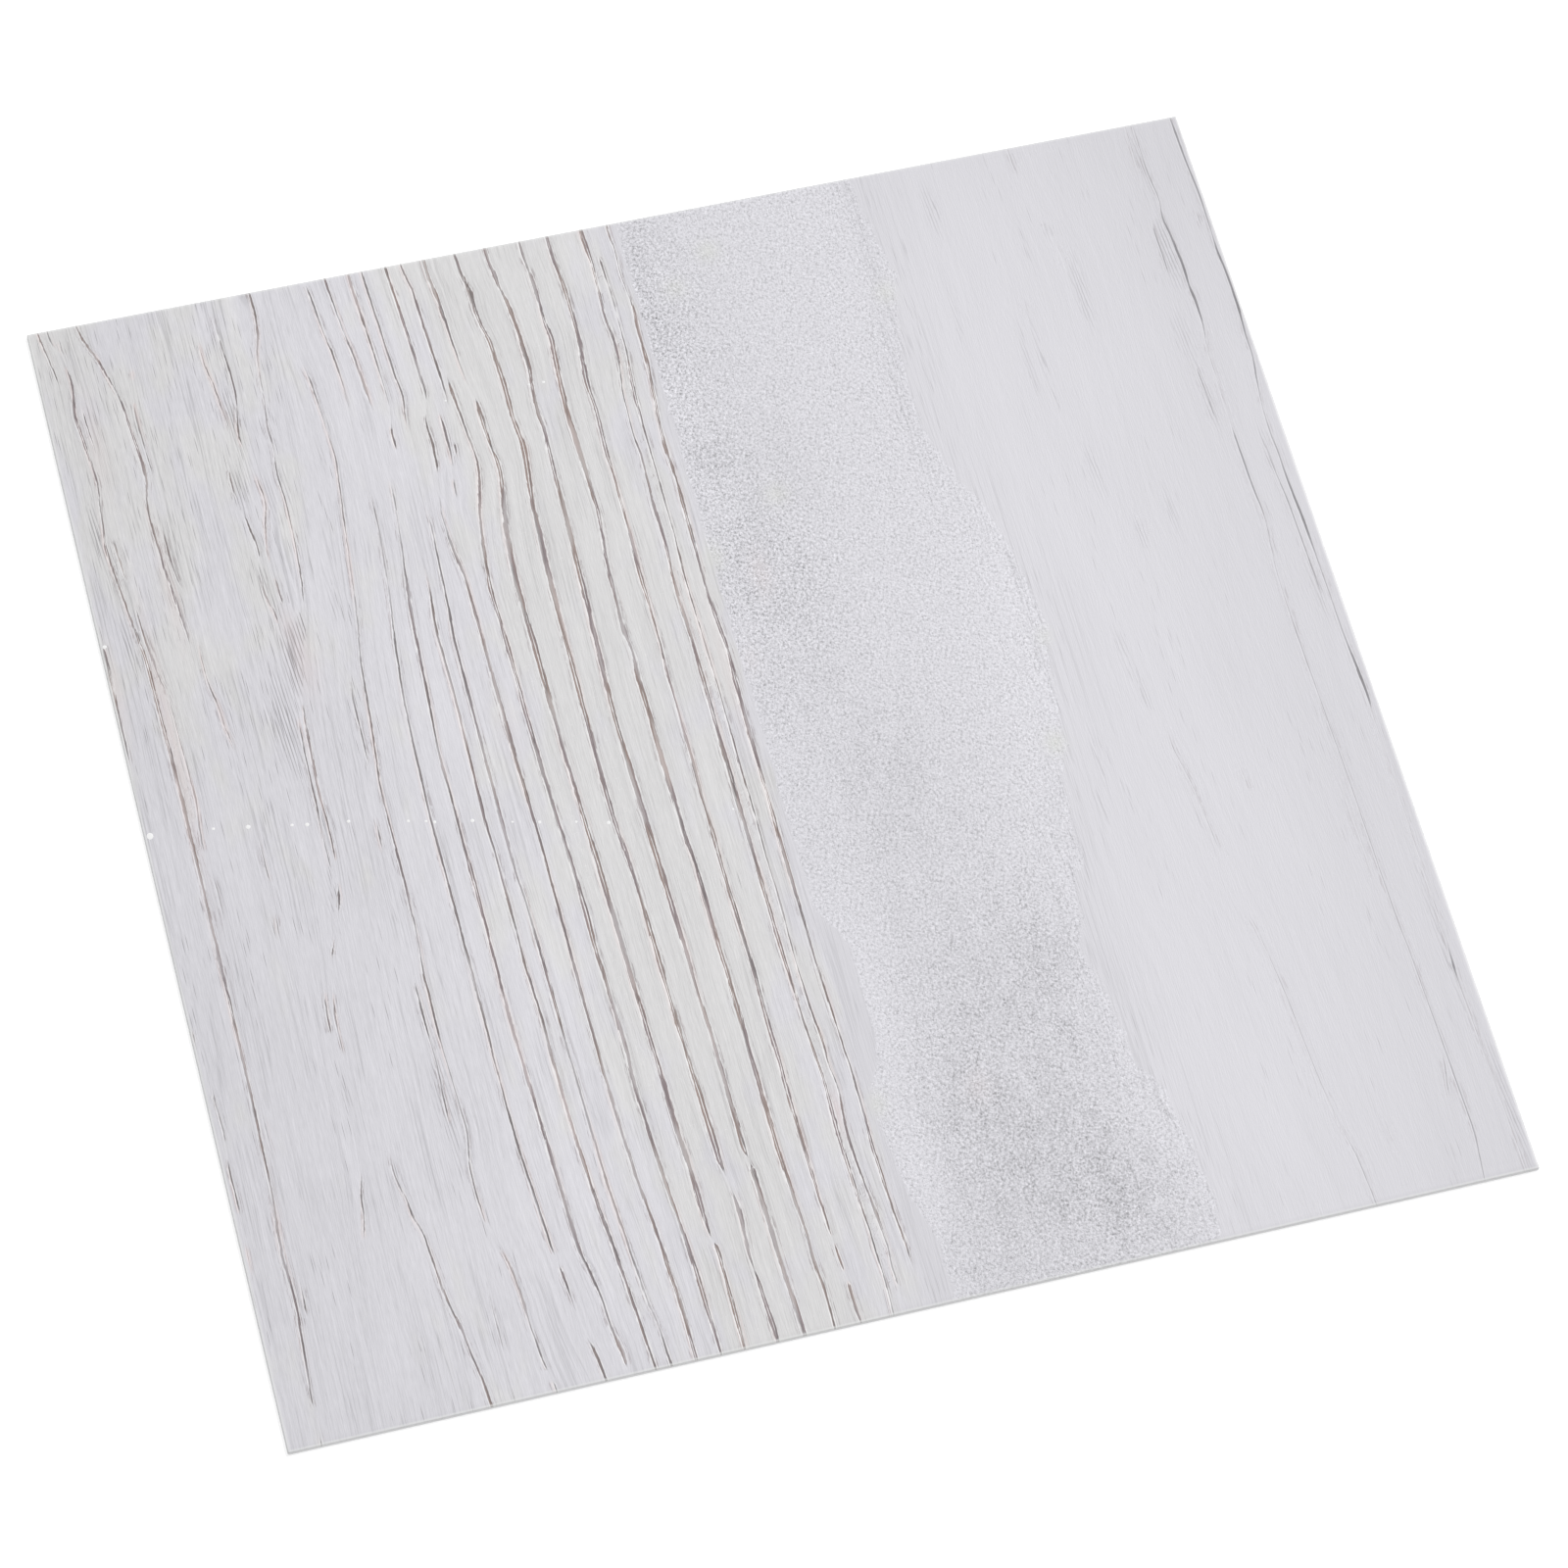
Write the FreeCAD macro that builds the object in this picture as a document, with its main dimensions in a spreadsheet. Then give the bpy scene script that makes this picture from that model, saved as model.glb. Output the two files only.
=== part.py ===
"""A square vinyl floor tile: one thin die-cut sheet, printed face up.

The frame is in millimetres. Its origin is the centre of the back, +Z points out of the printed
face, and +Y runs along the printed wood grain, away from the viewer.
"""

import os

import FreeCAD
import Part
import Sketcher

TILE_SIZES = {
    "tile_width": 305.0,  # across the grain, a nominal 12 inches
    "tile_length": 305.0,  # along the grain
    "tile_thickness": 1.2,  # the calendered sheet, from back to face
    "edge_radius": 0.35,  # the die rolls the face's rim and the corners over
}
EDGE_TOLERANCE = 1e-6


def make_sheet(doc):
    """The spreadsheet that holds the driving dimensions."""
    sheet = doc.addObject("Spreadsheet::Sheet", "sizes")
    for row, (alias, value) in enumerate(TILE_SIZES.items(), start=1):
        sheet.set(f"A{row}", alias)
        sheet.set(f"B{row}", str(value))
        sheet.setAlias(f"B{row}", alias)
    doc.recompute()
    return sheet


def origin_plane(body, role):
    """The body's own origin plane with this role, such as XY_Plane."""
    return next(f for f in body.Origin.OriginFeatures if f.Role == role)


def draw_outline(body):
    """The tile's square outline on the floor plane, centred on the origin."""
    sketch = body.newObject("Sketcher::SketchObject", "tile_outline")
    sketch.AttachmentSupport = [(origin_plane(body, "XY_Plane"), "")]
    sketch.MapMode = "FlatFace"

    x = TILE_SIZES["tile_width"] / 2
    y = TILE_SIZES["tile_length"] / 2
    corners = [FreeCAD.Vector(*p, 0) for p in ((-x, -y), (x, -y), (x, y), (-x, y))]
    for start, end in zip(corners, corners[1:] + corners[:1]):
        sketch.addGeometry(Part.LineSegment(start, end), False)
    front, right, back, left = range(4)
    for side, following in ((front, right), (right, back), (back, left), (left, front)):
        sketch.addConstraint(Sketcher.Constraint("Coincident", side, 2, following, 1))
    for side in (front, back):
        sketch.addConstraint(Sketcher.Constraint("Horizontal", side))
    for side in (right, left):
        sketch.addConstraint(Sketcher.Constraint("Vertical", side))
    # Opposite corners mirror each other about the origin, which is point 1 of geometry -1.
    sketch.addConstraint(Sketcher.Constraint("Symmetric", front, 1, back, 1, -1, 1))
    width = sketch.addConstraint(Sketcher.Constraint("DistanceX", front, 1, front, 2, 2 * x))
    length = sketch.addConstraint(Sketcher.Constraint("DistanceY", right, 1, right, 2, 2 * y))
    sketch.setExpression(f"Constraints[{width}]", "sizes.tile_width")
    sketch.setExpression(f"Constraints[{length}]", "sizes.tile_length")
    return sketch


def rolled_edges(shape, face_height):
    """Names of the edges that the die rolls over: the face's rim and the upright corners."""
    names = []
    for number, edge in enumerate(shape.Edges, start=1):
        low, high = edge.BoundBox.ZMin, edge.BoundBox.ZMax
        upright = high - low > EDGE_TOLERANCE
        on_face = abs(low - face_height) < EDGE_TOLERANCE
        if upright or on_face:
            names.append(f"Edge{number}")
    return names


def make_tile(doc, sheet):
    """The tile's single solid: the outline padded to thickness, its face side eased."""
    body = doc.addObject("PartDesign::Body", "vinyl_tile")
    body.Label = "vinyl_tile"
    outline = draw_outline(body)

    slab = body.newObject("PartDesign::Pad", "calendered_sheet")
    slab.Profile = outline
    slab.setExpression("Length", "sizes.tile_thickness")
    doc.recompute()

    rim = body.newObject("PartDesign::Fillet", "rolled_rim")
    rim.Base = (slab, rolled_edges(slab.Shape, sheet.tile_thickness))
    rim.setExpression("Radius", "sizes.edge_radius")
    doc.recompute()
    return body


def check(doc, bodies):
    """Stops the script if an object failed to build or a body isn't a sound solid."""
    for item in doc.Objects:
        if {"Invalid", "Error"} & set(item.State):
            raise RuntimeError(f"{item.Name} did not build: {item.State}")
    for body in bodies:
        shape = body.Shape
        if shape.isNull() or not shape.isValid() or len(shape.Solids) != 1:
            raise RuntimeError(f"{body.Label} is not one sound solid")


def main():
    doc = FreeCAD.newDocument("vinyl_floor_tile")
    sheet = make_sheet(doc)
    bodies = [make_tile(doc, sheet)]
    doc.recompute()
    check(doc, bodies)
    os.makedirs("parts", exist_ok=True)
    for body in bodies:
        body.Shape.exportStep(f"parts/{body.Label}.step")
        box = body.Shape.BoundBox
        print(body.Label, box.XLength, box.YLength, box.ZLength, body.Shape.Volume)


main()
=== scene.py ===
"""Looks of the vinyl floor tile: one embossed and printed sheet, lit and seen as in the photograph.

Lengths in the script are millimetres on the tile, x across the grain and y along it, both from
the tile's centre. The finished mesh is scaled to metres.
"""

import math

import bmesh
import bpy
import numpy as np
from mathutils import Matrix, Vector


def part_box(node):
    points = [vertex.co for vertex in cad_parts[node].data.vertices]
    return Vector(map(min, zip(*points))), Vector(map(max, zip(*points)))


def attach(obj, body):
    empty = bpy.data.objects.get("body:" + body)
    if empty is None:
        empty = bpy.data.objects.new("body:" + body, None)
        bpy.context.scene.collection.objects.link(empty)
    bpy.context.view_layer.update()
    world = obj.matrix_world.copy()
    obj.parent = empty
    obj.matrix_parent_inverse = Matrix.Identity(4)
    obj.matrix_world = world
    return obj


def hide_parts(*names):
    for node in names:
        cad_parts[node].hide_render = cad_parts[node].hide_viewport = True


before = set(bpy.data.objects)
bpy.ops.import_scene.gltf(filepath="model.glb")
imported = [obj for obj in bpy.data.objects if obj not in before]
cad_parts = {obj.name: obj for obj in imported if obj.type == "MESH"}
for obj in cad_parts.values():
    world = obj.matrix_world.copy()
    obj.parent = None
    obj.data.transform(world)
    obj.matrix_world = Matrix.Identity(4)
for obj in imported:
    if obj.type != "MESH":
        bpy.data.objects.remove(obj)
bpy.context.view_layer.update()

MM = 0.001
_, tile_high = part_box("vinyl_tile")
HALF = tile_high.x / MM
THICK = tile_high.z / MM
EDGE_RADIUS = 0.35
FLAT_HALF = HALF - EDGE_RADIUS

# The grain lines of the decor, from left to right: (y, x, width), from the far edge to the near one.
# A point without a width is where the line is worn away, and the sheet's grain still follows it.
OAK_LINES = {
    "rim_streak": (
        (152.5, -151.9), (62, -151.6), (60, -151.6, 0.8), (55, -151.6, 0.9), (42, -151.7, 0.35),
        (33, -151.7, 0.45), (18, -151.7), (-42, -151.8), (-46, -151.8, 0.3), (-54, -151.8),
        (-152.5, -151.9)),
    "left_edge": (
        (152.5, -149.8, 0.5), (138, -147.6, 0.35), (133, -147.3), (60, -148), (0, -149), (-58, -150.4),
        (-62, -150.4, 0.3), (-73, -149.9, 0.3), (-76, -150.2), (-80, -150.8, 0.35), (-91, -150.6, 0.3),
        (-95, -150.8), (-103, -151.2, 0.2), (-118, -151.2), (-152.5, -151.3)),
    "left_flame": (
        (152.5, -147.4, 0.3), (148, -147, 0.2), (144, -145.5), (138, -144.2, 0.5), (132, -144.3, 0.5),
        (128.6, -145.6, 0.8), (106, -143.5, 0.5), (101, -144.4, 0.35), (94, -144.8, 0.5), (88, -145.6, 0.7),
        (68, -143.6, 0.5), (55, -142.1, 0.9), (45, -142, 0.8), (15, -141.4, 0.8), (-60, -141.7, 0.6),
        (-90, -142.3, 0.4), (-105, -143.4, 0.6), (-116, -142.7, 0.5), (-142, -144.4, 0.3), (-145, -144.4),
        (-152.5, -144.5, 0.35)),
    "left_flame_twin": (
        (152.5, -145), (147, -145.1, 0.25), (135, -143.2), (126, -143.2, 0.4), (118, -142.5, 0.3),
        (108, -142.4), (92, -143.3), (88, -143.2, 0.5), (80, -142.5, 0.6), (74, -142.2), (68, -141.5, 0.4),
        (63, -141.4, 0.5), (55, -140.6, 0.7), (50, -140.2, 0.4), (45, -139, 0.2), (15, -138.2, 0.5),
        (3, -139.3, 0.3), (-2, -139), (-9, -138.2, 0.25), (-30, -138.3), (-65, -140.2), (-72, -140.2, 0.2),
        (-108, -140.6), (-118, -140.9, 0.4), (-124, -141.1), (-152.5, -142.8)),
    "oak_ring": (
        (152.5, -139.9, 0.3), (148.6, -139.4, 0.5), (141.7, -136.7, 0.7), (131, -133.8, 0.2),
        (127, -133.1, 0.5), (106, -131.4, 0.8), (99, -132.8, 0.4), (95.5, -133.2, 0.5), (78, -132.5, 0.6),
        (69.5, -131.5, 0.8), (60, -130.8, 0.5), (53, -130.7), (-60, -131.5), (-152.5, -133)),
    "oak_ring_twin": (
        (152.5, -131), (140, -129), (135, -128.7, 0.2), (130, -129.8), (125, -130.6, 0.4), (108, -130, 0.3),
        (104, -129.8), (92, -130.6), (88, -130.7, 0.4), (80, -130.5, 0.5), (74, -129.9, 0.2), (70, -128.6),
        (52, -128.9, 0.2), (44, -128.7, 0.35), (40, -127.6, 0.3), (32, -127.3, 0.45), (28, -126.2, 0.15),
        (20, -126), (-9, -125.6, 0.3), (-13, -125.4), (-22, -126.3, 0.2), (-32, -126.5), (-152.5, -130)),
    "oak_vein": (
        (152.5, -110.6), (145, -110.7), (136, -110.9, 0.5), (132, -110.5, 0.3), (128, -109.6, 0.3),
        (123, -109.4, 0.35), (115, -108.4, 0.3), (112, -109), (104, -111), (102, -111.3, 0.4),
        (96, -111.2, 0.4), (92, -110.6), (88, -109.8, 0.4), (85, -109.7, 0.4), (81, -108.8, 0.4),
        (78, -108.8, 0.4), (75, -109.2), (69, -110, 0.5), (65, -110, 0.5), (63, -108.9, 0.4),
        (59.5, -108.4, 0.5), (56, -108.3), (53, -108.3), (39, -108.2), (36, -108.8), (28, -109.6, 0.3),
        (9, -110.1, 0.45), (0, -110.5, 0.15), (-9, -110.4, 0.2), (-12, -110.7), (-20, -112.4),
        (-28, -115.5), (-36, -117.5), (-44, -119.5, 0.2), (-51, -119.9, 0.5), (-54, -120), (-89, -122.5),
        (-105, -126), (-152.5, -129)),
    "flame_fan": (
        (152.5, -105.5), (146, -105.8, 0.15), (131, -104.9, 0.4), (124, -104.8, 0.45), (119, -105.5, 0.2),
        (115, -106.4, 0.45), (110.5, -106.7, 0.4), (106, -106), (97, -104.6, 0.3), (91, -104, 0.4),
        (88, -105.2, 0.4), (78, -107, 0.45), (72, -106.8), (69, -106.3, 0.5), (64.5, -106.4, 0.6),
        (61, -106), (52, -105.8), (45, -106.6), (35, -108.1), (28, -108.9), (9, -109.6), (-9, -109.7),
        (-30, -115.2), (-46, -118.5), (-90, -121.6), (-105, -124.9), (-152.5, -128)),
    "flame_leg": (
        (152.5, -95.3, 0.4), (147, -95, 0.4), (138.6, -95.8, 0.6), (135.5, -97, 0.4), (127, -98, 0.2),
        (121, -98.2, 0.3), (113, -99.2, 0.4), (107, -98.8, 0.3), (98.6, -99.8, 0.3), (92, -99.2, 0.3),
        (81, -99.4, 0.3), (68.7, -100.2, 0.4), (63, -101, 0.2), (60, -101.4), (52, -103.6), (41, -105.9),
        (37, -107), (33, -107.6, 0.4), (28, -108, 0.6), (9, -109, 0.6), (4, -108.6, 0.4), (-7, -108.8, 0.3),
        (-11, -109.2), (-18, -110.2, 0.5), (-21, -110.8, 0.4), (-24, -112), (-32, -115, 0.4), (-36, -116),
        (-49, -118.2, 0.5), (-53, -118.3, 0.1), (-57, -118.2, 0.2), (-62, -118.6), (-86, -120.5),
        (-90, -120.9, 0.2), (-95, -122.4, 0.3), (-101, -122.7, 0.25), (-104, -123.8, 0.25), (-108, -124.4),
        (-152.5, -127)),
    "right_leg": (
        (152.5, -93.6), (60, -99), (40, -102), (20, -104.5), (-20, -107), (-80, -112.8), (-90, -113.6, 0.3),
        (-94, -113.2, 0.3), (-97, -112, 0.2), (-103, -111.7, 0.4), (-106, -110.2, 0.3), (-125, -108.6, 0.5),
        (-127, -108.2, 0.15), (-129, -107.4, 0.5), (-131, -107.2, 0.85), (-133, -106.9, 0.5),
        (-140.6, -105.9, 0.4), (-143.6, -105.2, 0.5), (-152.5, -104.4, 0.5)),
    "flame_edge_twin": (
        (152.5, -91.5), (70, -93), (48, -92.8), (34, -95.2, 0.3), (17, -95.3, 0.3), (8, -96.5),
        (-5, -97.2, 0.35), (-14, -97.4), (-42, -97.6), (-46, -97.6, 0.3), (-57, -97.6, 0.35),
        (-60, -97.5, 0.1), (-66, -97.3, 0.25), (-80, -97.9, 0.25), (-84, -97.9), (-105, -98.6),
        (-133, -98.7, 0.2), (-152.5, -98)),
    "flame_edge": (
        (152.5, -88.2), (134, -87.4), (123, -85.6, 0.4), (112, -85, 0.1), (100, -84.4, 0.25),
        (53, -89.4, 0.25), (43, -91.1, 0.3), (25.7, -92.3, 0.45), (9, -94, 0.3), (-22.6, -94, 0.5),
        (-34, -94.3, 0.1), (-44, -95.2, 0.4), (-48.7, -95, 0.45), (-58, -95.2, 0.4), (-61, -95.1, 0.15),
        (-85, -94.2, 0.2), (-93, -95.8, 0.3), (-103, -95.8, 0.3), (-107, -95.6, 0.1), (-112, -94.5),
        (-118, -92.5, 0.3), (-130, -91.2, 0.5), (-134, -91.4, 0.3), (-139, -90.7, 0.3), (-146, -90.3, 0.3),
        (-148, -89.6), (-150, -89.1, 0.25), (-152.5, -89, 0.25)),
}
RIDGE_LINES = {
    "ridge_1": (
        (152.5, -80.9), (150, -80.5, 0.35), (134, -79.2, 0.2), (131, -78.5, 0.35), (120, -77.9, 0.15),
        (98, -78.3), (84, -78.2, 0.2), (75, -78.6, 0.25), (60, -79.9, 0.2), (45, -81.8, 0.3),
        (30, -83.1, 0.35), (0, -84, 0.4), (-60, -83.6, 0.4), (-70, -83.8, 0.2), (-90, -83.5, 0.4),
        (-118, -81.8, 0.35), (-121, -81.4), (-124, -80.9, 0.6), (-140, -79.5), (-144, -78.2, 0.5),
        (-152.5, -77.2, 0.35)),
    "ridge_2": (
        (152.5, -75.7, 0.5), (135, -74.4, 0.1), (132, -73.8, 0.3), (117, -72.6, 0.5), (109, -72),
        (100, -72.3), (87, -72.6, 0.2), (70, -74.2, 0.2), (55, -75.8, 0.6), (15, -78, 0.35),
        (11, -78.1, 0.6), (5, -77.8, 0.35), (-15, -77.8, 0.5), (-18, -77.7, 0.8), (-30, -77.6, 0.5),
        (-60, -77.7, 0.5), (-119, -75.7, 0.8), (-122, -75.4, 0.3), (-125, -74.3, 0.5), (-129, -74.2, 0.4),
        (-131, -73.4, 0.3), (-141, -73, 0.35), (-145, -72, 0.8), (-149, -71.8, 0.6), (-151, -71.8),
        (-152.5, -71.8)),
    "ridge_3": (
        (152.5, -69.5, 0.5), (147, -69.5, 0.5), (137, -68.8, 0.45), (135, -68.7, 0.1), (133, -68.5, 0.4),
        (114, -67.8, 0.1), (108, -68.3), (105, -69.2, 0.4), (101, -68.9, 0.45), (98, -69.2), (75, -69.6),
        (57, -69.9, 0.3), (52, -70.7, 0.5), (45, -71, 0.4), (30, -70.7, 0.4), (-9.5, -71.3, 0.5),
        (-15, -70.9, 0.35), (-24, -70.9, 0.6), (-35, -70.7, 0.3), (-45, -70.9, 0.5), (-60, -70.1, 0.4),
        (-70, -70.3, 0.5), (-90, -69.8, 0.6), (-105, -69, 0.6), (-135, -66.5, 0.5), (-152.5, -65.4, 0.45)),
    "ridge_4": (
        (152.5, -66.1, 0.3), (119, -64.5, 0.3), (114, -63.8, 0.3), (108, -64.9, 0.2), (95, -65.2),
        (75, -65.5, 0.25), (50, -66.7, 0.35), (45, -67.2, 0.4), (-8, -67.4, 0.6), (-22, -67.3, 0.35),
        (-30, -66.7, 0.35), (-60, -66.2, 0.6), (-67, -66.2, 0.3), (-105, -65.3, 0.4), (-137, -63.1, 0.25),
        (-141, -62.2, 0.15), (-152.5, -61.6, 0.4)),
    "ridge_5": (
        (152.5, -59.9, 0.4), (128, -58.6, 0.6), (113, -58.2, 0.3), (110, -58.6), (106, -60.4, 0.3),
        (100, -59.6, 0.4), (92.5, -60.2, 0.4), (88, -60.8), (79, -62.3, 0.2), (75, -62, 0.1),
        (69, -61.8, 0.5), (60, -60.5, 0.5), (15, -60.2, 0.7), (-15, -59.5, 0.4), (-60, -59.4, 0.5),
        (-90, -58.9, 0.6), (-105, -58.2, 0.5), (-120, -56.8, 0.6), (-140, -55.8, 0.7),
        (-152.5, -55.7, 0.6)),
    "ridge_5_twin": (
        (152.5, -58), (110, -56.3), (104, -55.9, 0.5), (93, -56, 0.2), (90, -56.6), (87, -57.2, 0.25),
        (83, -57.3, 0.1), (80, -58), (45, -58), (-60, -57), (-152.5, -54.2)),
    "ridge_6": (
        (152.5, -55.8, 0.3), (149, -55.7, 0.3), (146, -54.7, 0.35), (133, -54.2, 0.6), (113, -53.2, 0.25),
        (105, -53.6), (99, -54.4), (97, -54.5, 0.6), (91, -54.8), (75, -56.2), (45, -56.8), (-60, -55.4),
        (-152.5, -52.4)),
    "ridge_7": (
        (152.5, -52.5), (118, -51.9), (114, -51.7, 0.6), (97, -50.4, 0.2), (92.5, -49.9, 0.35),
        (88.6, -50.3, 0.5), (81, -51.8, 0.6), (77, -53, 0.4), (72.5, -53.4, 0.4), (68, -54.2, 0.6),
        (60, -54.8, 0.5), (56, -55.3, 0.9), (45, -54.9, 0.5), (38, -54.8, 0.9), (30, -54.7, 0.6),
        (22, -54.8, 0.8), (-8, -54.2, 0.7), (-22, -53.5, 0.6), (-36, -53.2, 1.1), (-45, -53.4, 0.7),
        (-60, -52.8, 0.6), (-69, -52.6, 0.9), (-75, -52.6, 0.7), (-83.5, -52.8, 0.9), (-90, -52.6, 0.6),
        (-105, -52, 0.7), (-120, -50.9, 0.5), (-130, -50.3, 0.9), (-152.5, -49.7, 0.4)),
    "ridge_8": (
        (152.5, -49.8, 0.6), (147, -49.8, 0.6), (141.7, -49, 0.7), (116, -47.6, 0.1), (110, -46.3),
        (108.6, -46, 0.4), (105, -46.1, 1.0), (98, -45.9, 0.7), (94.5, -45.7, 0.2), (90, -44.9, 0.9),
        (86, -45.2, 0.8), (70, -47.6, 1.1), (60, -48.4, 1.2), (45, -48.4, 0.9), (37, -48.2, 1.2),
        (22, -48.2, 1.1), (15, -48.2, 0.7), (-15, -47.6, 0.8), (-27, -47.2, 1.2), (-60, -46.6, 0.7),
        (-98, -45.7, 1.0), (-105, -45.3, 0.8), (-113, -45.1, 1.2), (-123, -45, 0.3), (-124.5, -44.6),
        (-126, -43.9, 0.9), (-134, -44, 0.5), (-143.5, -44, 0.8), (-152.5, -44, 0.5)),
    "ridge_9": (
        (152.5, -41.8, 0.5), (147, -41.5, 0.7), (142.5, -40.8, 0.6), (139.8, -40.1, 1.2),
        (137.5, -40.5, 0.9), (131, -40.2, 0.6), (125.5, -38.8, 0.7), (111, -38.2, 1.1), (101, -38.4, 0.8),
        (96.3, -37.8, 0.9), (93, -37.6, 1.4), (87, -38.2, 1.0), (82.5, -38.8, 1.3), (75, -39.4, 0.9),
        (68, -39.5, 1.2), (60, -40.1, 1.1), (30, -40.5, 0.8), (24, -40.5, 1.1), (15, -40.7, 0.8),
        (-5, -40.7, 1.0), (-15, -40.6, 0.6), (-23, -39.9, 1.0), (-30, -39.5, 0.5), (-55, -39.2, 1.0),
        (-60, -39.1, 0.6), (-69.5, -39, 0.9), (-75, -38.8, 0.4), (-86, -38.5, 1.1), (-101, -38, 1.4),
        (-105, -38, 1.0), (-108, -37.8, 0.2), (-111, -37.2), (-118, -36.6, 0.9), (-130, -37.2, 0.5),
        (-134, -37.1, 0.1), (-137, -36.5, 0.6), (-141, -36.6, 0.9), (-147, -36.1, 0.9),
        (-152.5, -36.1, 0.8)),
    "ridge_10": (
        (152.5, -33.8, 0.9), (147, -33.8, 0.6), (144.8, -33, 0.9), (141, -33.2, 0.5), (138, -32.2, 0.3),
        (135.5, -31.9, 0.8), (128, -31.2, 0.7), (115.5, -30.9, 0.9), (105, -31.9, 0.6), (101, -31.8, 0.9),
        (98.6, -31.3, 0.7), (85, -31.9, 0.8), (68, -32.1, 1.1), (15, -33.8, 0.8), (-5, -33.4, 1.2),
        (-40, -32.6, 1.1), (-55, -32.1, 0.6), (-60, -32.4, 0.5), (-75, -31.7, 0.7), (-104, -31.6, 0.9),
        (-105.5, -31.5, 0.3), (-107.5, -31), (-108.7, -30.9, 1.0), (-135, -30.3, 0.9),
        (-152.5, -29.5, 0.9)),
    "ridge_11": (
        (152.5, -24.7, 0.6), (146, -24.7, 0.4), (142.5, -24.2, 0.3), (141, -23.9, 0.9), (131, -23.9, 0.5),
        (127, -24.2, 0.7), (124, -23.2, 1.0), (114, -24, 1.1), (98.6, -24.7, 1.0), (92.5, -24.3, 1.2),
        (70, -23.8, 0.7), (60, -24.9, 0.5), (55, -25.3, 0.8), (45, -25.5, 0.5), (37, -25.8, 1.0),
        (33, -25.3, 0.4), (30, -24.9, 0.5), (24, -25.5, 1.0), (15, -25.3, 0.8), (0, -25.2, 1.2),
        (-15, -24.9, 0.7), (-22, -24.9, 0.9), (-30, -24.2, 0.4), (-32, -24.3, 0.9), (-45, -24.4, 0.9),
        (-60, -24, 0.9), (-105, -23.8, 0.8), (-130, -22.6, 0.5), (-135, -22.8, 0.7), (-142, -22.1, 0.5),
        (-152.5, -22.2, 0.4)),
    "ridge_12": (
        (152.5, -17.4, 1.0), (147, -17.4, 0.9), (135.5, -16.5, 0.9), (120, -16.5, 1.1), (111, -17.5, 1.2),
        (106, -17.8, 0.9), (101.7, -17.2, 0.7), (95, -17.4, 1.0), (85.5, -17.8, 0.9), (82, -17.5, 0.5),
        (60, -17.6, 0.8), (52, -18, 1.0), (45, -17.8, 0.6), (30, -17.8, 0.4), (24, -18.2, 0.7),
        (15, -18, 0.5), (-10, -18.2, 0.8), (-15, -18.2, 0.5), (-22, -18, 0.9), (-30, -18.2, 0.9),
        (-60, -17.6, 0.8), (-75, -17.9, 1.0), (-83, -17.6, 1.0), (-90, -17.8, 0.7), (-97, -17.8, 0.9),
        (-129, -17.2, 0.4), (-131, -17), (-133, -16.8, 0.5), (-138, -16.6, 0.5), (-140.5, -16.4),
        (-143, -16.3, 0.6), (-149, -16.3, 0.6), (-152.5, -15.8, 0.5)),
    "ridge_13": (
        (152.5, -8.4, 1.0), (146, -8.2, 1.2), (142.5, -7.9, 0.7), (125.5, -8.6, 0.5), (119, -8, 0.8),
        (114, -8.2, 0.8), (110, -8.4, 0.3), (104, -9.5, 0.3), (90, -9.9, 0.3), (84, -9.2, 0.6),
        (74, -9.8, 0.6), (69, -9.9, 1.0), (60, -9.5, 0.8), (52, -9.9, 0.6), (45, -10.3, 0.8),
        (30, -9.9, 0.9), (-15, -10, 1.1), (-22, -9.9, 0.8), (-52, -9.8, 1.0), (-75, -9.4, 0.5),
        (-90, -8.5, 0.6), (-105, -8.9, 0.9), (-120, -8.5, 0.7), (-130, -7.9, 0.3), (-137, -8, 0.4),
        (-143, -7.6, 0.3), (-152.5, -8, 0.3)),
    "ridge_14": (
        (152.5, -5.9), (144, -5.7), (142.5, -5.7, 0.5), (128.6, -5.3, 0.3), (112.5, -5.7, 0.3),
        (109, -6.2, 0.8), (100, -6.8, 0.8), (92.5, -6.8, 0.5), (60, -6.8, 0.3), (52, -7.2, 0.6),
        (45, -7.3, 0.3), (15, -6.8, 0.3), (-7, -7, 0.6), (-15, -6.8, 0.3), (-30, -7, 0.3), (-45, -6.8, 0.4),
        (-60, -7.2, 0.3), (-75, -6.8, 0.35), (-80, -6.1, 0.6), (-87.5, -6.5, 0.3), (-93, -5.7, 0.3),
        (-97.5, -5.9, 0.6), (-101, -6.5, 0.6), (-105, -6.7, 0.6), (-113, -6.5, 0.5), (-120, -5.9, 0.4),
        (-126, -5.3, 0.7), (-132, -5.2, 0.5), (-135, -4.7, 0.4), (-140.6, -5.3, 0.4), (-145, -4.9, 0.4),
        (-147, -4.9), (-152.5, -4.9)),
    "seam_ridge": (
        (152.5, -1.7, 0.6), (148, -1.7, 0.5), (145.7, -1.1, 0.3), (137, -1.7, 0.3), (130, -1, 0.1),
        (125.5, -0.7, 0.7), (121, -1.2, 0.8), (115.7, -1.2, 0.6), (111, -1.2, 1.0), (106, -1.6, 0.5),
        (97, -2.2, 0.8), (92.5, -2.6, 0.5), (86, -2.9, 0.9), (75, -2.4, 0.5), (69, -2.5, 0.9),
        (45, -2.8, 0.5), (40, -2.8, 0.9), (25, -1.8, 0.8), (19, -2.2, 1.0), (0, -2.6, 0.9),
        (-15, -2.5, 0.6), (-26.5, -2.6, 1.0), (-60, -2.5, 0.5), (-90, -1.5, 0.4), (-105, -1.5, 0.5),
        (-109, -1.8, 0.8), (-130, -1.1, 0.4), (-135, -0.5, 0.6), (-148, -0.5), (-152.5, -0.5)),
}
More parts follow.
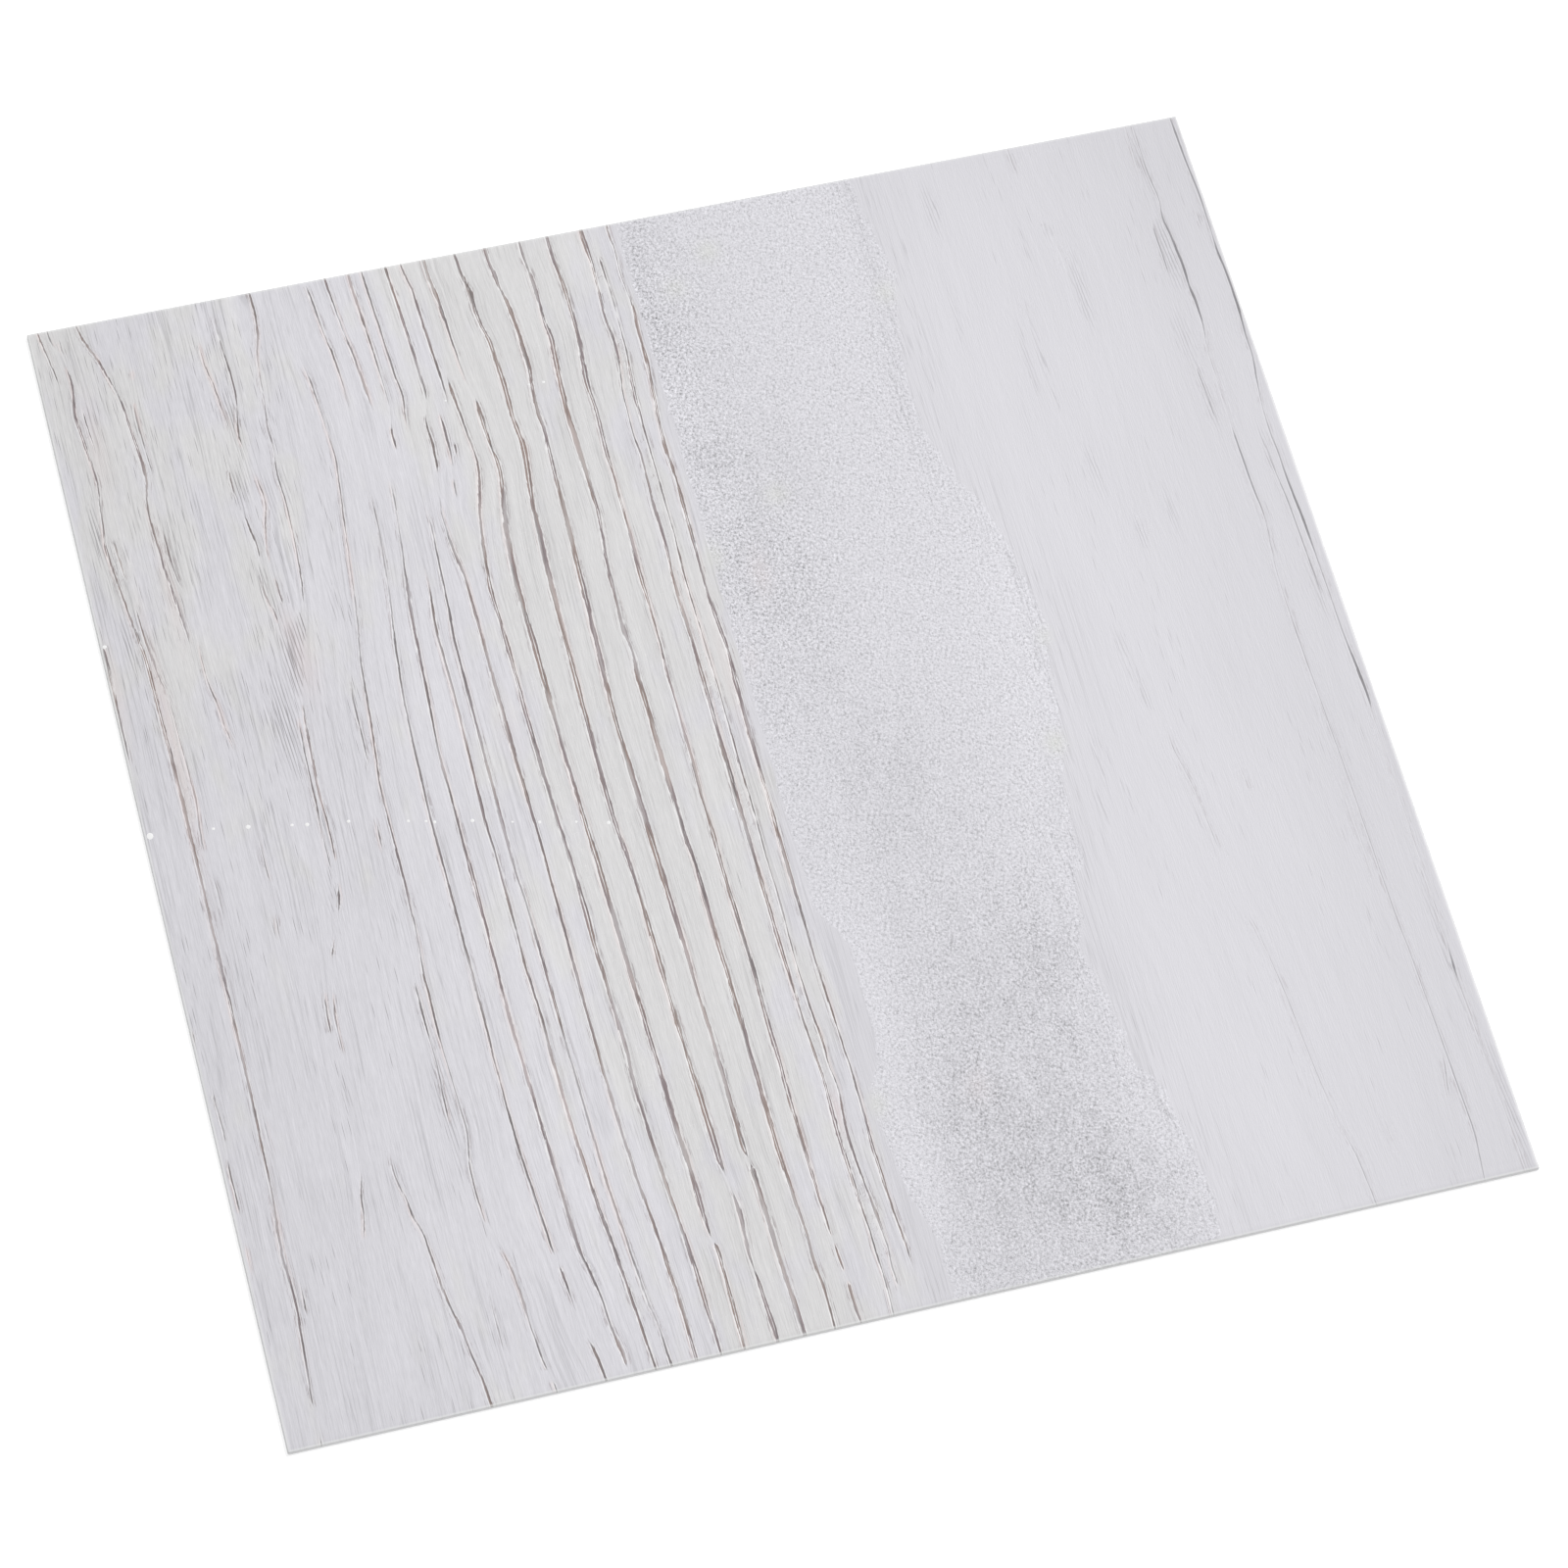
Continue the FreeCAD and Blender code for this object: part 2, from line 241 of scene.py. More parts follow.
PALE_LINES = {
    "hair_1": (
        (152.5, 98), (110, 98), (105, 97.8, 0.15), (94, 97.8), (-12, 98.4), (-25, 98.5, 0.25),
        (-36, 100.4, 0.2), (-52, 101.5, 0.25), (-66, 102), (-76, 104.4, 0.15), (-94, 106.2, 0.25),
        (-118, 107.5, 0.25), (-132, 109, 0.15), (-139, 110.5, 0.3), (-152.5, 111.3, 0.3)),
    "hair_2": (
        (152.5, 106.2, 0.15), (145, 106.2, 0.15), (142, 107), (129, 109.2), (128, 109.2, 0.2), (126, 109.2),
        (119, 111.2, 0.15), (105, 111), (44, 109.3), (37, 109.2, 0.15), (34, 109.5), (-15, 112.3),
        (-40, 113.6, 0.2), (-43, 113.8), (-127, 119), (-137, 120, 0.25), (-144, 120.4), (-152.5, 121)),
    "edge_ring_twin": (
        (152.5, 138.4, 0.15), (140, 138, 0.2), (124, 137), (120, 136.7, 0.4), (108, 136.8, 0.35),
        (104, 136.4), (80, 135.4), (77, 135.6, 0.35), (71, 136, 0.35), (64, 136, 0.35), (60, 136),
        (-60, 136.6, 0.12), (-117, 138.4), (-121, 138.6, 0.3), (-127, 137.2, 0.3), (-136, 136.2),
        (-152.5, 136)),
    "edge_ring": (
        (152.5, 140.4, 0.2), (136, 140, 0.35), (132, 140.6, 0.35), (127, 140.8, 0.3), (123, 139.6, 0.5),
        (120, 140.4, 0.6), (106, 141.2, 0.7), (101.7, 140.6, 0.5), (99.4, 141.2, 0.8), (89, 141.1, 0.4),
        (84, 140, 0.2), (60, 139.5, 0.1), (56.5, 139.5, 0.5), (39.5, 139.6, 0.45), (36.5, 140, 0.4),
        (30, 140, 0.25), (25, 139.1, 0.3), (21, 139, 0.25), (18, 138.3, 0.15), (0, 138.1, 0.3),
        (-44, 138.7, 0.25), (-83, 138.8, 0.3), (-90, 139.2, 0.25), (-140, 140, 0.4), (-152.5, 138.5, 0.3)),
    "rim_ring_twin": (
        (152.5, 148.6), (130, 148.6), (121, 149.2, 0.35), (110, 149), (62, 146.1), (48, 146.3, 0.3),
        (35, 147.2, 0.4), (10, 147.5, 0.35), (4, 147.5), (-152.5, 147)),
    "rim_ring": (
        (152.5, 150.7, 0.3), (148, 150.8, 0.6), (138.6, 150.9, 0.5), (128.6, 151.5, 0.5), (115, 151.2, 0.3),
        (110, 151, 0.6), (105, 151.5, 0.6), (92.5, 151.5, 0.7), (83, 150.8, 0.4), (78, 151, 0.4),
        (74, 150.2, 0.5), (63, 148.8, 0.2), (55.7, 148.6, 0.35), (48, 149, 0.4), (44, 148.8, 0.5),
        (28.8, 149.4, 0.7), (18, 149.5, 0.3), (-5, 149.6, 0.35), (-16.5, 150.2, 0.8), (-24, 150.4, 0.5),
        (-26, 150, 0.1), (-90, 149, 0.15), (-97.4, 148.5, 0.6), (-102, 148.4, 0.2), (-152.5, 149.2, 0.15)),
}
GRAIN_LINES = [*OAK_LINES.values(), *RIDGE_LINES.values(), *PALE_LINES.values()]

# The worn band of the right board: (y, x) along its right and its left side.
WORN_RIGHT = (
    (152.5, 63), (142, 64), (135, 65), (128, 66), (121, 67.6), (118, 66.2), (112, 65.4), (105, 63.9),
    (97, 63), (90, 61.5), (82, 61.5), (75, 62.2), (70, 63.5), (65, 64.6), (60, 67), (52, 70.8), (45, 73),
    (37, 74.6), (30, 75.4), (22, 76.5), (15, 77.3), (8, 76), (0, 74.6), (-8, 73.8), (-15, 72.7),
    (-20, 72.7), (-23, 70.8), (-28, 69.2), (-35, 68.8), (-45, 68.3), (-50, 68), (-52, 66), (-55, 65),
    (-60, 63.8), (-66, 63.5), (-70, 61.5), (-75, 61.2), (-79, 63), (-85, 63.5), (-90, 64.5), (-100, 65),
    (-106, 66), (-109, 69.2), (-115, 70.4), (-120, 71.5), (-127, 72.7), (-135, 72.7), (-140, 74.2),
    (-145, 73.5), (-152.5, 72))
WORN_LEFT = (
    (152.5, 0.7), (-44, 0.7), (-50, 1.6), (-54, 5), (-60, 6.4), (-85, 6.2), (-92, 4), (-96, 1.2),
    (-106, 1.2), (-112, 2.2), (-120, 2.6), (-130, 5.2), (-136, 6.6), (-152.5, 7.2))
# Darker and lighter clouds in it: (x, y, half width, half length, how much darker).
WORN_CLOUDS = (
    (4, 146, 9, 12, 0.5), (3, 120, 9, 16, 0.5), (16, 118, 9, 22, 0.2), (8, 80, 9, 9, 0.45),
    (24, 74, 9, 16, 0.35), (12, 64, 8, 10, 0.2), (8, 44, 10, 16, 0.45), (22, 40, 8, 14, 0.25),
    (6, 14, 9, 12, 0.3), (20, 16, 7, 10, 0.2), (24, -16, 11, 26, 0.42), (33, -12, 8, 12, 0.15),
    (40, -20, 14, 22, 0.2), (5, -18, 8, 22, 0.15), (32, -70, 24, 34, 0.52), (34, -125, 28, 32, 0.86),
    (21, -106, 7, 22, 0.15), (53, -76, 8, 20, 0.5), (45, -84, 8, 12, 0.15), (37, -82, 6, 7, 0.15),
    (36, -114, 6, 8, 0.2), (51, -134, 10, 16, 0.55), (62, -146, 8, 14, 0.4), (20, -148, 8, 9, 0.25),
    (8, -74, 9, 26, -0.45), (8, -120, 6, 18, -0.5), (66, -84, 7, 34, -0.28), (72, 15, 8, 36, -0.2))
# Where its grain is coarser: (x, y, half width, half length, how much coarser).
WORN_COARSE = (
    (5, 54, 11, 42, 0.9), (3, 120, 9, 30, 1.1), (32, -110, 16, 34, 0.2), (21, 44, 9, 22, 0.75),
    (24, -102, 10, 24, 0.3), (50, -74, 9, 24, 0.3), (49, -134, 10, 20, 0.6))
# Faint stains: (x, y, half width, half length, strength), pink if positive and greenish if negative.
STAINS = (
    (11.5, 45, 2.5, 6, 0.4), (27, -101, 3, 4, 0.3), (3, 22, 2, 4, 0.2), (-140.4, 32, 1.3, 30, 0.8),
    (-132.5, 74, 1.6, 16, 0.5), (-104.5, 46, 3, 9, 0.6), (-106.5, 57, 2, 5, 0.4), (-7.6, -100, 1.4, 6, 0.9),
    (-3.4, 20, 1.5, 20, 0.4), (-151, 48, 1.5, 12, 0.5), (-142, 118, 2.5, 14, 0.4), (-60, 18, 3, 10, 0.2),
    (22, 139, 3, 3, -0.7), (11, 130, 3, 3, -0.5), (63.5, 117, 2.5, 3, -0.6), (21, 66, 3, 3, -0.6),
    (1.5, 52, 2, 4, -0.7), (76, 12, 2, 2.5, -0.5), (70.5, -17, 2.5, 3, -0.8), (2, -100, 2.5, 3, -0.7))
# Clusters of open pores: (x, y, half width, half length, how much opener).
PORE_CLUSTERS = (
    (-102.5, 57, 0.6, 3.5, 1.1), (-103.6, 54.5, 0.8, 3.5, 1.1), (-104.9, 51.5, 0.9, 5.5, 1.2),
    (-106.3, 47.5, 1.2, 8, 1.2), (-107.9, 46, 1.2, 8, 1.2), (-110, 97, 2.6, 9, 0.8),
    (-103, 94, 2.2, 10, 0.45), (-107, 118, 2.4, 9, 0.7), (-109.6, 70, 2.2, 7, 0.7),
    (-113, 30, 3.4, 16, 0.9), (-124, 42, 2.2, 9, 0.5), (-145.5, 60, 1.4, 9, 0.8), (-147, 92, 1.6, 10, 0.9),
    (-142.6, 45, 1.0, 16, 0.7), (-131, 74, 1.0, 14, 0.6), (-98, 96, 1.6, 12, 0.4), (-120, -70, 1.8, 7, 0.5),
    (-117, -135, 2.5, 8, 0.5), (-92, -128, 2, 9, 0.4), (-112, -20, 2.5, 10, 0.4), (-137, -40, 2.5, 14, 0.3),
    (-98, -74, 2.6, 20, 0.65), (-93, 62, 2.5, 10, 0.4), (-88, 102, 2, 8, 0.4), (-76, 108, 1.2, 5, 0.4),
    (82, 139, 2.2, 8, 0.6), (106.5, 148, 1, 4, 0.6), (113, 107, 2.0, 13, 0.7), (110, 126, 2.5, 3, 0.4),
    (94, 90, 1.2, 13, 0.6), (97.8, 88, 1, 16, 0.55), (79.5, 103, 1, 13, 0.5), (102, 56, 2.5, 10, 0.45),
    (108, 35, 2, 7, 0.5), (117.5, 40, 1.2, 9, 0.45), (94.5, 4, 2, 10, 0.45), (96, -10, 1.5, 6, 0.5),
    (138.5, 113, 2.4, 10, 0.95), (139.5, 140, 1.3, 10, 0.8), (136, 66, 1.5, 8, 0.6),
    (135.5, 86, 3, 12, 0.45), (79.5, -25, 0.8, 10, 0.5), (77, -35, 0.8, 8, 0.5), (99.5, -40, 1, 14, 0.4),
    (148, -90, 1.5, 30, 0.5), (147, 10, 1.2, 9, 0.8), (146.3, 50, 0.8, 8, 0.8), (150.5, -135, 1, 20, 0.8))
# Small white dots on the face: (x, y, radius).
WHITE_DOTS = (
    (-151.2, 8.0, 1.0), (-151.3, 60.9, 0.6), (-135.8, 6.5, 0.4), (-127.5, 5.1, 0.6), (-117.1, 3.2, 0.4),
    (-113.5, 2.5, 0.5), (-103.6, 1.1, 0.45), (-89.5, -2.1, 0.4), (-85.3, -3.1, 0.35), (-83.3, -3.8, 0.45),
    (-74.3, -5.5, 0.5), (-64.9, -8.0, 0.3), (-58.5, -9.6, 0.4), (-49.8, -11.5, 0.35), (-42.2, -13.5, 0.5),
    (-11.7, -16.8, 0.3), (-32.1, 110.5, 0.35), (-28.4, 110.4, 0.4), (-53.8, 110.5, 0.3))
# Tone of the paint across the tile, apart from the lines: (x, share of the pale board's tone).
PAINT_TONE = (
    (-152.5, 0.945), (-140, 0.960), (-125, 0.973), (-112, 0.990), (-100, 0.998), (-87, 1.006), (-73, 1.026),
    (-59, 1.016), (-46, 0.990), (-25, 0.985), (-12, 0.995), (0.4, 0.985), (1.2, 0.97), (9, 0.97),
    (14, 0.962), (35, 0.968), (55, 0.98), (66, 1.0), (76, 1.02), (94, 1.012), (108, 1.0), (125, 0.974),
    (138, 0.952), (152.5, 0.945))

WORN_STRETCH = -0.25  # half width given to a worn-away stretch, so that no ink shows
NARROWEST_HALF = 0.15
LINE_REACH = 0.25  # from a line's edge out to the lip of its groove
SHORTEST_REACH = 0.02
REACH_SHARE = 0.45  # of the gap between two lines, where they lie close
LINE_CLEARANCE = 0.12
RIM_CLEARANCE = 0.2
SPREADING_PASSES = 6
FILLER_PITCH = 1.4
CLOSEST_COLUMNS = 0.05
ROW_COUNT = 200
ROWS = np.linspace(-FLAT_HALF, FLAT_HALF, ROW_COUNT + 1)
EVENING = np.array((1, 2, 3, 2, 1)) / 9

PAINT_LEVEL = 0.03  # the painted face lies this far below the rim and the lips
GROOVE_DEPTH = 0.08
THINNEST_SHARE = 0.35
GROOVE_SHARES = (0.4, 1.0)  # of that depth, in the thinnest lines and in the widest
WALL_SHARE = 0.45  # of a groove's depth, at the edge of its ink
LIP_RISE = 0.4 * PAINT_LEVEL
PALE_BOARD_RELIEF = 0.3
RELIEF_FADE = 1.5  # from the rim inwards
SEAM = 0.6  # x of the joint between the two printed boards
FADED = 9.0  # a spot ends where it has faded to exp(-9)
FAR_OFF = (5.0, 0.2, 5.0)  # reach, half width and offset, where no line is near

# Shares of the export's texture map, as parts of its width.
FACE_MARGIN, FACE_SHARE = 0.004, 0.93
BACK_START, BACK_SHARE = 0.94, 0.056
SIDE_START, SIDE_RISE, OTHER_SIDE = 0.945, 0.008, 0.02
SIDE_MARGIN, SIDE_SHARE = 0.01, 0.9

PRINT, CUT_EDGE, BACK = range(3)
TOUCHING, LEVEL = 1e-3, 1e-4
FACING_DOWN = -0.5
UPRIGHT = 0.15
ROLL_SEGMENTS = 4
ROLL_SHARE = 0.9
DOT_SUNK = 0.005


def line_path(points):
    """x and half width of a grain line at every row, with the small wobbles of x evened out."""
    ys, xs, widths = np.array([(*point, 0)[:3] for point in reversed(points)], float).T
    path = np.pad(np.interp(ROWS, ys, xs), len(EVENING) // 2, mode="reflect", reflect_type="odd")
    halves = np.where(widths > 0, widths / 2, WORN_STRETCH)
    return np.convolve(path, EVENING, "valid"), np.interp(ROWS, ys, halves)


LINE_PATHS = np.array([line_path(points) for points in GRAIN_LINES])


def lines_across(row):
    """Centres and half widths of all the grain lines at a row, kept a little apart."""
    centres, halves = LINE_PATHS[:, :, row].T.copy()
    room = np.maximum(halves, NARROWEST_HALF)
    for _ in range(SPREADING_PASSES):
        overlap = room[:-1] + room[1:] + LINE_CLEARANCE - np.diff(centres)
        overlap = np.maximum(overlap, 0)
        centres[:-1] -= overlap / 2
        centres[1:] += overlap / 2
    farthest = FLAT_HALF - RIM_CLEARANCE
    return np.clip(centres, -farthest, farthest), halves


def line_columns(row):
    """The five mesh columns of each grain line at a row: lips, edges and middle."""
    centres, halves = lines_across(row)
    room = np.maximum(halves, NARROWEST_HALF)
    left, right = centres - room, centres + room
    starts = np.append(-FLAT_HALF, right)
    ends = np.append(left, FLAT_HALF)
    reaches = np.clip((ends - starts) * REACH_SHARE, SHORTEST_REACH, LINE_REACH)
    columns = (left - reaches[:-1], left, centres, right, right + reaches[1:])
    return np.stack(columns, 1), centres, halves


def filler_counts():
    """How many plain columns each gap between two lines needs, where it is widest."""
    widest = np.zeros(len(GRAIN_LINES) + 1)
    for row in range(ROW_COUNT + 1):
        columns, _, _ = line_columns(row)
        starts = np.append(-FLAT_HALF, columns[:, -1])
        ends = np.append(columns[:, 0], FLAT_HALF)
        widest = np.maximum(widest, ends - starts)
    return [max(math.ceil(gap / FILLER_PITCH) - 1, 0) for gap in widest]


class GrainLayout:
    """Where the mesh's columns run: along every grain line, with plain columns between."""

    def __init__(self):
        self.fillers = filler_counts()
        self.rows = [self.laid(row) for row in range(ROW_COUNT + 1)]
        self.straight = np.mean([stops for stops, _, _, _ in self.rows], 0)

    def at(self, y):
        """The row of columns at y, or the nearest one where y is on the rim."""
        row = round((y + FLAT_HALF) / (2 * FLAT_HALF) * ROW_COUNT)
        return self.rows[min(max(row, 0), ROW_COUNT)]

    def laid(self, row):
        """Columns' x in a row, their distances from the nearest line, its half widths and offsets."""
        columns, centres, halves = line_columns(row)
        stops = [-FLAT_HALF]
        for line, filler in zip([*columns, [FLAT_HALF]], self.fillers):
            stops.extend(np.linspace(stops[-1], line[0], filler + 2)[1:-1])
            stops.extend(line)
        stops = np.array(stops)
        for i in range(1, len(stops) - 1):
            stops[i] = max(stops[i], stops[i - 1] + CLOSEST_COLUMNS)
        for i in range(len(stops) - 2, 0, -1):
            stops[i] = min(stops[i], stops[i + 1] - CLOSEST_COLUMNS)
        offsets = stops[:, None] - centres[None, :]
        reaches = np.abs(offsets) - halves[None, :]
        nearest = np.argmin(reaches, 1)
        picked = np.arange(len(stops))
        return stops, reaches[picked, nearest], halves[nearest], offsets[picked, nearest]


def relief(y, x, reach, half):
    """Depth of the embossed face below the rim, in mm."""
    inland = np.clip((FLAT_HALF - max(abs(y), abs(x))) / RELIEF_FADE, 0, 1)
    if half <= 0:
        return PAINT_LEVEL * inland
    board = 1.0 if x < SEAM else PALE_BOARD_RELIEF
    groove = GROOVE_DEPTH * np.clip(THINNEST_SHARE + half, *GROOVE_SHARES)
    stops = (-half, 0, LINE_REACH, 2 * LINE_REACH)
    depths = (groove, WALL_SHARE * groove, -LIP_RISE, 0)
    depth = board * np.interp(reach, stops, depths) + PAINT_LEVEL
    return max(depth, 0) * inland


def side_distance(y, x, side):
    """How far x lies past one side of the worn band."""
    ys, xs = np.array(side[::-1], float).T
    return x - float(np.interp(y, ys, xs))


def end_shade(x, y):
    """The paint is a touch darker along the near end, and along the pale board's far end."""
    near = np.interp(y, (-150, -120), (0.014, 0))
    far = np.interp(y, (85, 145), (0, 0.036)) * (x > 60)
    return float(1 - near - far)


def hill(x, middle, half_width):
    """1 at the middle, fading out to both sides."""
    return math.exp(-(((x - middle) / half_width) ** 2))


def neutral_share(x, y):
    """Share of the greenish grey paint, against the lilac one."""
    middle = hill(x, -32, 30) * np.interp(y, (-150, -60), (0.65, 1))
    corner = hill(x, -140, 45) * np.interp(y, (-10, 110), (0, 1))
    return float(min(1.15 * middle + 0.9 * corner, 1) * (x < SEAM))


def pore_density(x, y):
    """How thickly the oak pores lie."""
    return float(np.interp(x, (-102, -78), (1, 0)) * np.interp(y, (-40, 50), (0.45, 1)))


def spots_here(x, y, spots):
    """The strengths of the spots that reach this point, each fading out from its middle."""
    total = 0
    for middle_x, middle_y, wide, long, strength in spots:
        far = ((x - middle_x) / wide) ** 2 + ((y - middle_y) / long) ** 2
        if far < FADED:
            total += strength * math.exp(-far)
    return total


def x_here(x, straight):
    """x along the grain: it follows the lines, and less so among the oak's wavering ones."""
    follows = np.interp(x, (-112, -88), (0.3, 1.0))
    return float(x + (straight - x) * follows)


def new_sheet(column_count):
    """The tile in mm, open at the back: a sheet with rolled edges and a grid of quads on its face."""
    bm = bmesh.new()
    size = Matrix.Diagonal((2 * HALF, 2 * HALF, THICK, 1))
    bmesh.ops.create_cube(bm, size=1, matrix=Matrix.Translation((0, 0, THICK / 2)) @ size)
    back = [f for f in bm.faces if f.normal.z < FACING_DOWN]
    bmesh.ops.delete(bm, geom=back, context="FACES_ONLY")
    rolled = [e for e in bm.edges if max(v.co.z for v in e.verts) > THICK / 2]
    bmesh.ops.bevel(bm, geom=rolled, offset=EDGE_RADIUS, offset_type="OFFSET", affect="EDGES",
                    segments=ROLL_SEGMENTS, profile=0.5, material=-1)
    for axis, cuts in ((0, column_count - 1), (1, ROW_COUNT - 1)):
        long_edges = [e for e in bm.edges if abs(e.verts[0].co[axis] - e.verts[1].co[axis]) > HALF]
        bmesh.ops.subdivide_edges(bm, edges=long_edges, cuts=cuts, use_grid_fill=True)
    return bm


def emboss(bm, layout):
    """Moves the grid onto the grain lines, presses them in, and notes what the print needs to know."""
    column_count = len(layout.straight) - 1
    names = ("grain", "line", "bands", "cast", "marks")
    grain, line, bands, cast, marks = [bm.verts.layers.float_vector.new(name) for name in names]
    tones = np.array(PAINT_TONE).T
    for vert in bm.verts:
        x, y, z = vert.co
        across = x
        from_line = FAR_OFF
        if abs(x) <= FLAT_HALF + TOUCHING:
            column = round((x + FLAT_HALF) / (2 * FLAT_HALF) * column_count)
            stops, *distances = layout.at(y)
            x = stops[column]
            across = x_here(x, layout.straight[column])
            from_line = [values[column] for values in distances]
            if z > THICK - LEVEL:
                reach, half, _ = from_line
                z -= relief(y, x, reach, half)
        vert.co = (x, y, z)
        vert[grain] = (across, y, 0)
        vert[line] = from_line
        coarse = spots_here(x, y, WORN_COARSE)
        vert[bands] = (side_distance(y, x, WORN_RIGHT), side_distance(y, x, WORN_LEFT), coarse)
        vert[marks] = [spots_here(x, y, spots) for spots in (WORN_CLOUDS, PORE_CLUSTERS, STAINS)]
        tone = float(np.interp(x, *tones)) * end_shade(x, y)
        vert[cast] = (tone, neutral_share(x, y), pore_density(x, y))


def side_place(rise, along, other):
    """A point of the cut sides on the texture map: across their strips, and along them."""
    return SIDE_START + SIDE_RISE * rise + OTHER_SIDE * other, SIDE_MARGIN + SIDE_SHARE * along


def lay_out_texture(bm):
    """The export's texture map: mostly the printed face, with the sides and the back in its margins."""
    uv = bm.loops.layers.uv.new("OFBake")
    for face in bm.faces:
        middle = face.calc_center_median()
        for loop in face.loops:
            x, y, _ = ((c + HALF) / (2 * HALF) for c in loop.vert.co)
            rise = loop.vert.co.z / THICK
            if face.material_index == PRINT:
                place = (FACE_MARGIN + FACE_SHARE * x, FACE_MARGIN + FACE_SHARE * y)
            elif face.material_index == BACK:
                place = (BACK_START + BACK_SHARE * x, BACK_START + BACK_SHARE * y)
            elif abs(middle.x) > abs(middle.y):
                place = side_place(rise, y, middle.x > 0)
            else:
                place = side_place(rise, x, middle.y > 0)[::-1]
            loop[uv].uv = place


def make_tile():
    """The printed sheet, embossed along its grain lines, with its cut edge and its back."""
    layout = GrainLayout()
    bm = new_sheet(len(layout.straight) - 1)
    emboss(bm, layout)
    rim = [e for e in bm.edges if e.is_boundary]
    bmesh.ops.contextual_create(bm, geom=rim)
    bmesh.ops.recalc_face_normals(bm, faces=bm.faces)
    roll_starts = THICK - ROLL_SHARE * EDGE_RADIUS
    for face in bm.faces:
        face.smooth = True
        if face.normal.z < FACING_DOWN:
            face.material_index = BACK
            face.smooth = False
        elif abs(face.normal.z) < UPRIGHT and face.calc_center_median().z < roll_starts:
            face.material_index = CUT_EDGE
    for edge in bm.edges:
        if any(f.material_index == BACK for f in edge.link_faces):
            edge.smooth = False
    lay_out_texture(bm)
    return as_piece(bm, "printed_vinyl_tile")


def as_piece(bm, name):
    """The finished mesh in metres, as an object of its own."""
    bmesh.ops.scale(bm, vec=(MM, MM, MM), verts=bm.verts)
    piece = new_object(bm, name)
    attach(piece, "root")
    return piece


def new_object(bm, name):
    """The mesh as an object in the scene."""
    mesh = bpy.data.meshes.new(name)
    bm.to_mesh(mesh)
    bm.free()
    thing = bpy.data.objects.new(name, mesh)
    bpy.context.scene.collection.objects.link(thing)
    return thing


def make_white_dots():
    """Small white domes on the printed face, no higher than its rim."""
    bm = bmesh.new()
    middle = THICK - PAINT_LEVEL - DOT_SUNK
    for x, y, radius in WHITE_DOTS:
        size = Matrix.Diagonal((radius, radius, THICK - middle, 1))
        bmesh.ops.create_uvsphere(bm, u_segments=16, v_segments=8, radius=1.0,
                                  matrix=Matrix.Translation((x, y, middle)) @ size)
    for face in bm.faces:
        face.smooth = True
    return as_piece(bm, "small_white_dots")


def srgb(*channels):
    """A colour read as 0 to 255 on screen, as the linear colour that a shader takes."""
    linear = [((c / 255 + 0.055) / 1.055) ** 2.4 for c in channels]
    return (*linear, 1.0)


class Wire:
    """A node's output that adds Math nodes when it is used in arithmetic."""

    def __init__(self, finish, socket):
        self.finish = finish
        self.socket = socket

    def maths(self, operation, *terms):
        return self.finish.maths(operation, *terms)

    def __add__(self, other):
        return self.maths("ADD", self, other)

    __radd__ = __add__

    def __sub__(self, other):
        return self.maths("SUBTRACT", self, other)

    def __rsub__(self, other):
        return self.maths("SUBTRACT", other, self)

    def __mul__(self, other):
        return self.maths("MULTIPLY", self, other)

    __rmul__ = __mul__

    def __abs__(self):
        return self.maths("ABSOLUTE", self)

    def below(self, other):
        return self.maths("MINIMUM", self, other)

    def above(self, other):
        return self.maths("MAXIMUM", self, other)


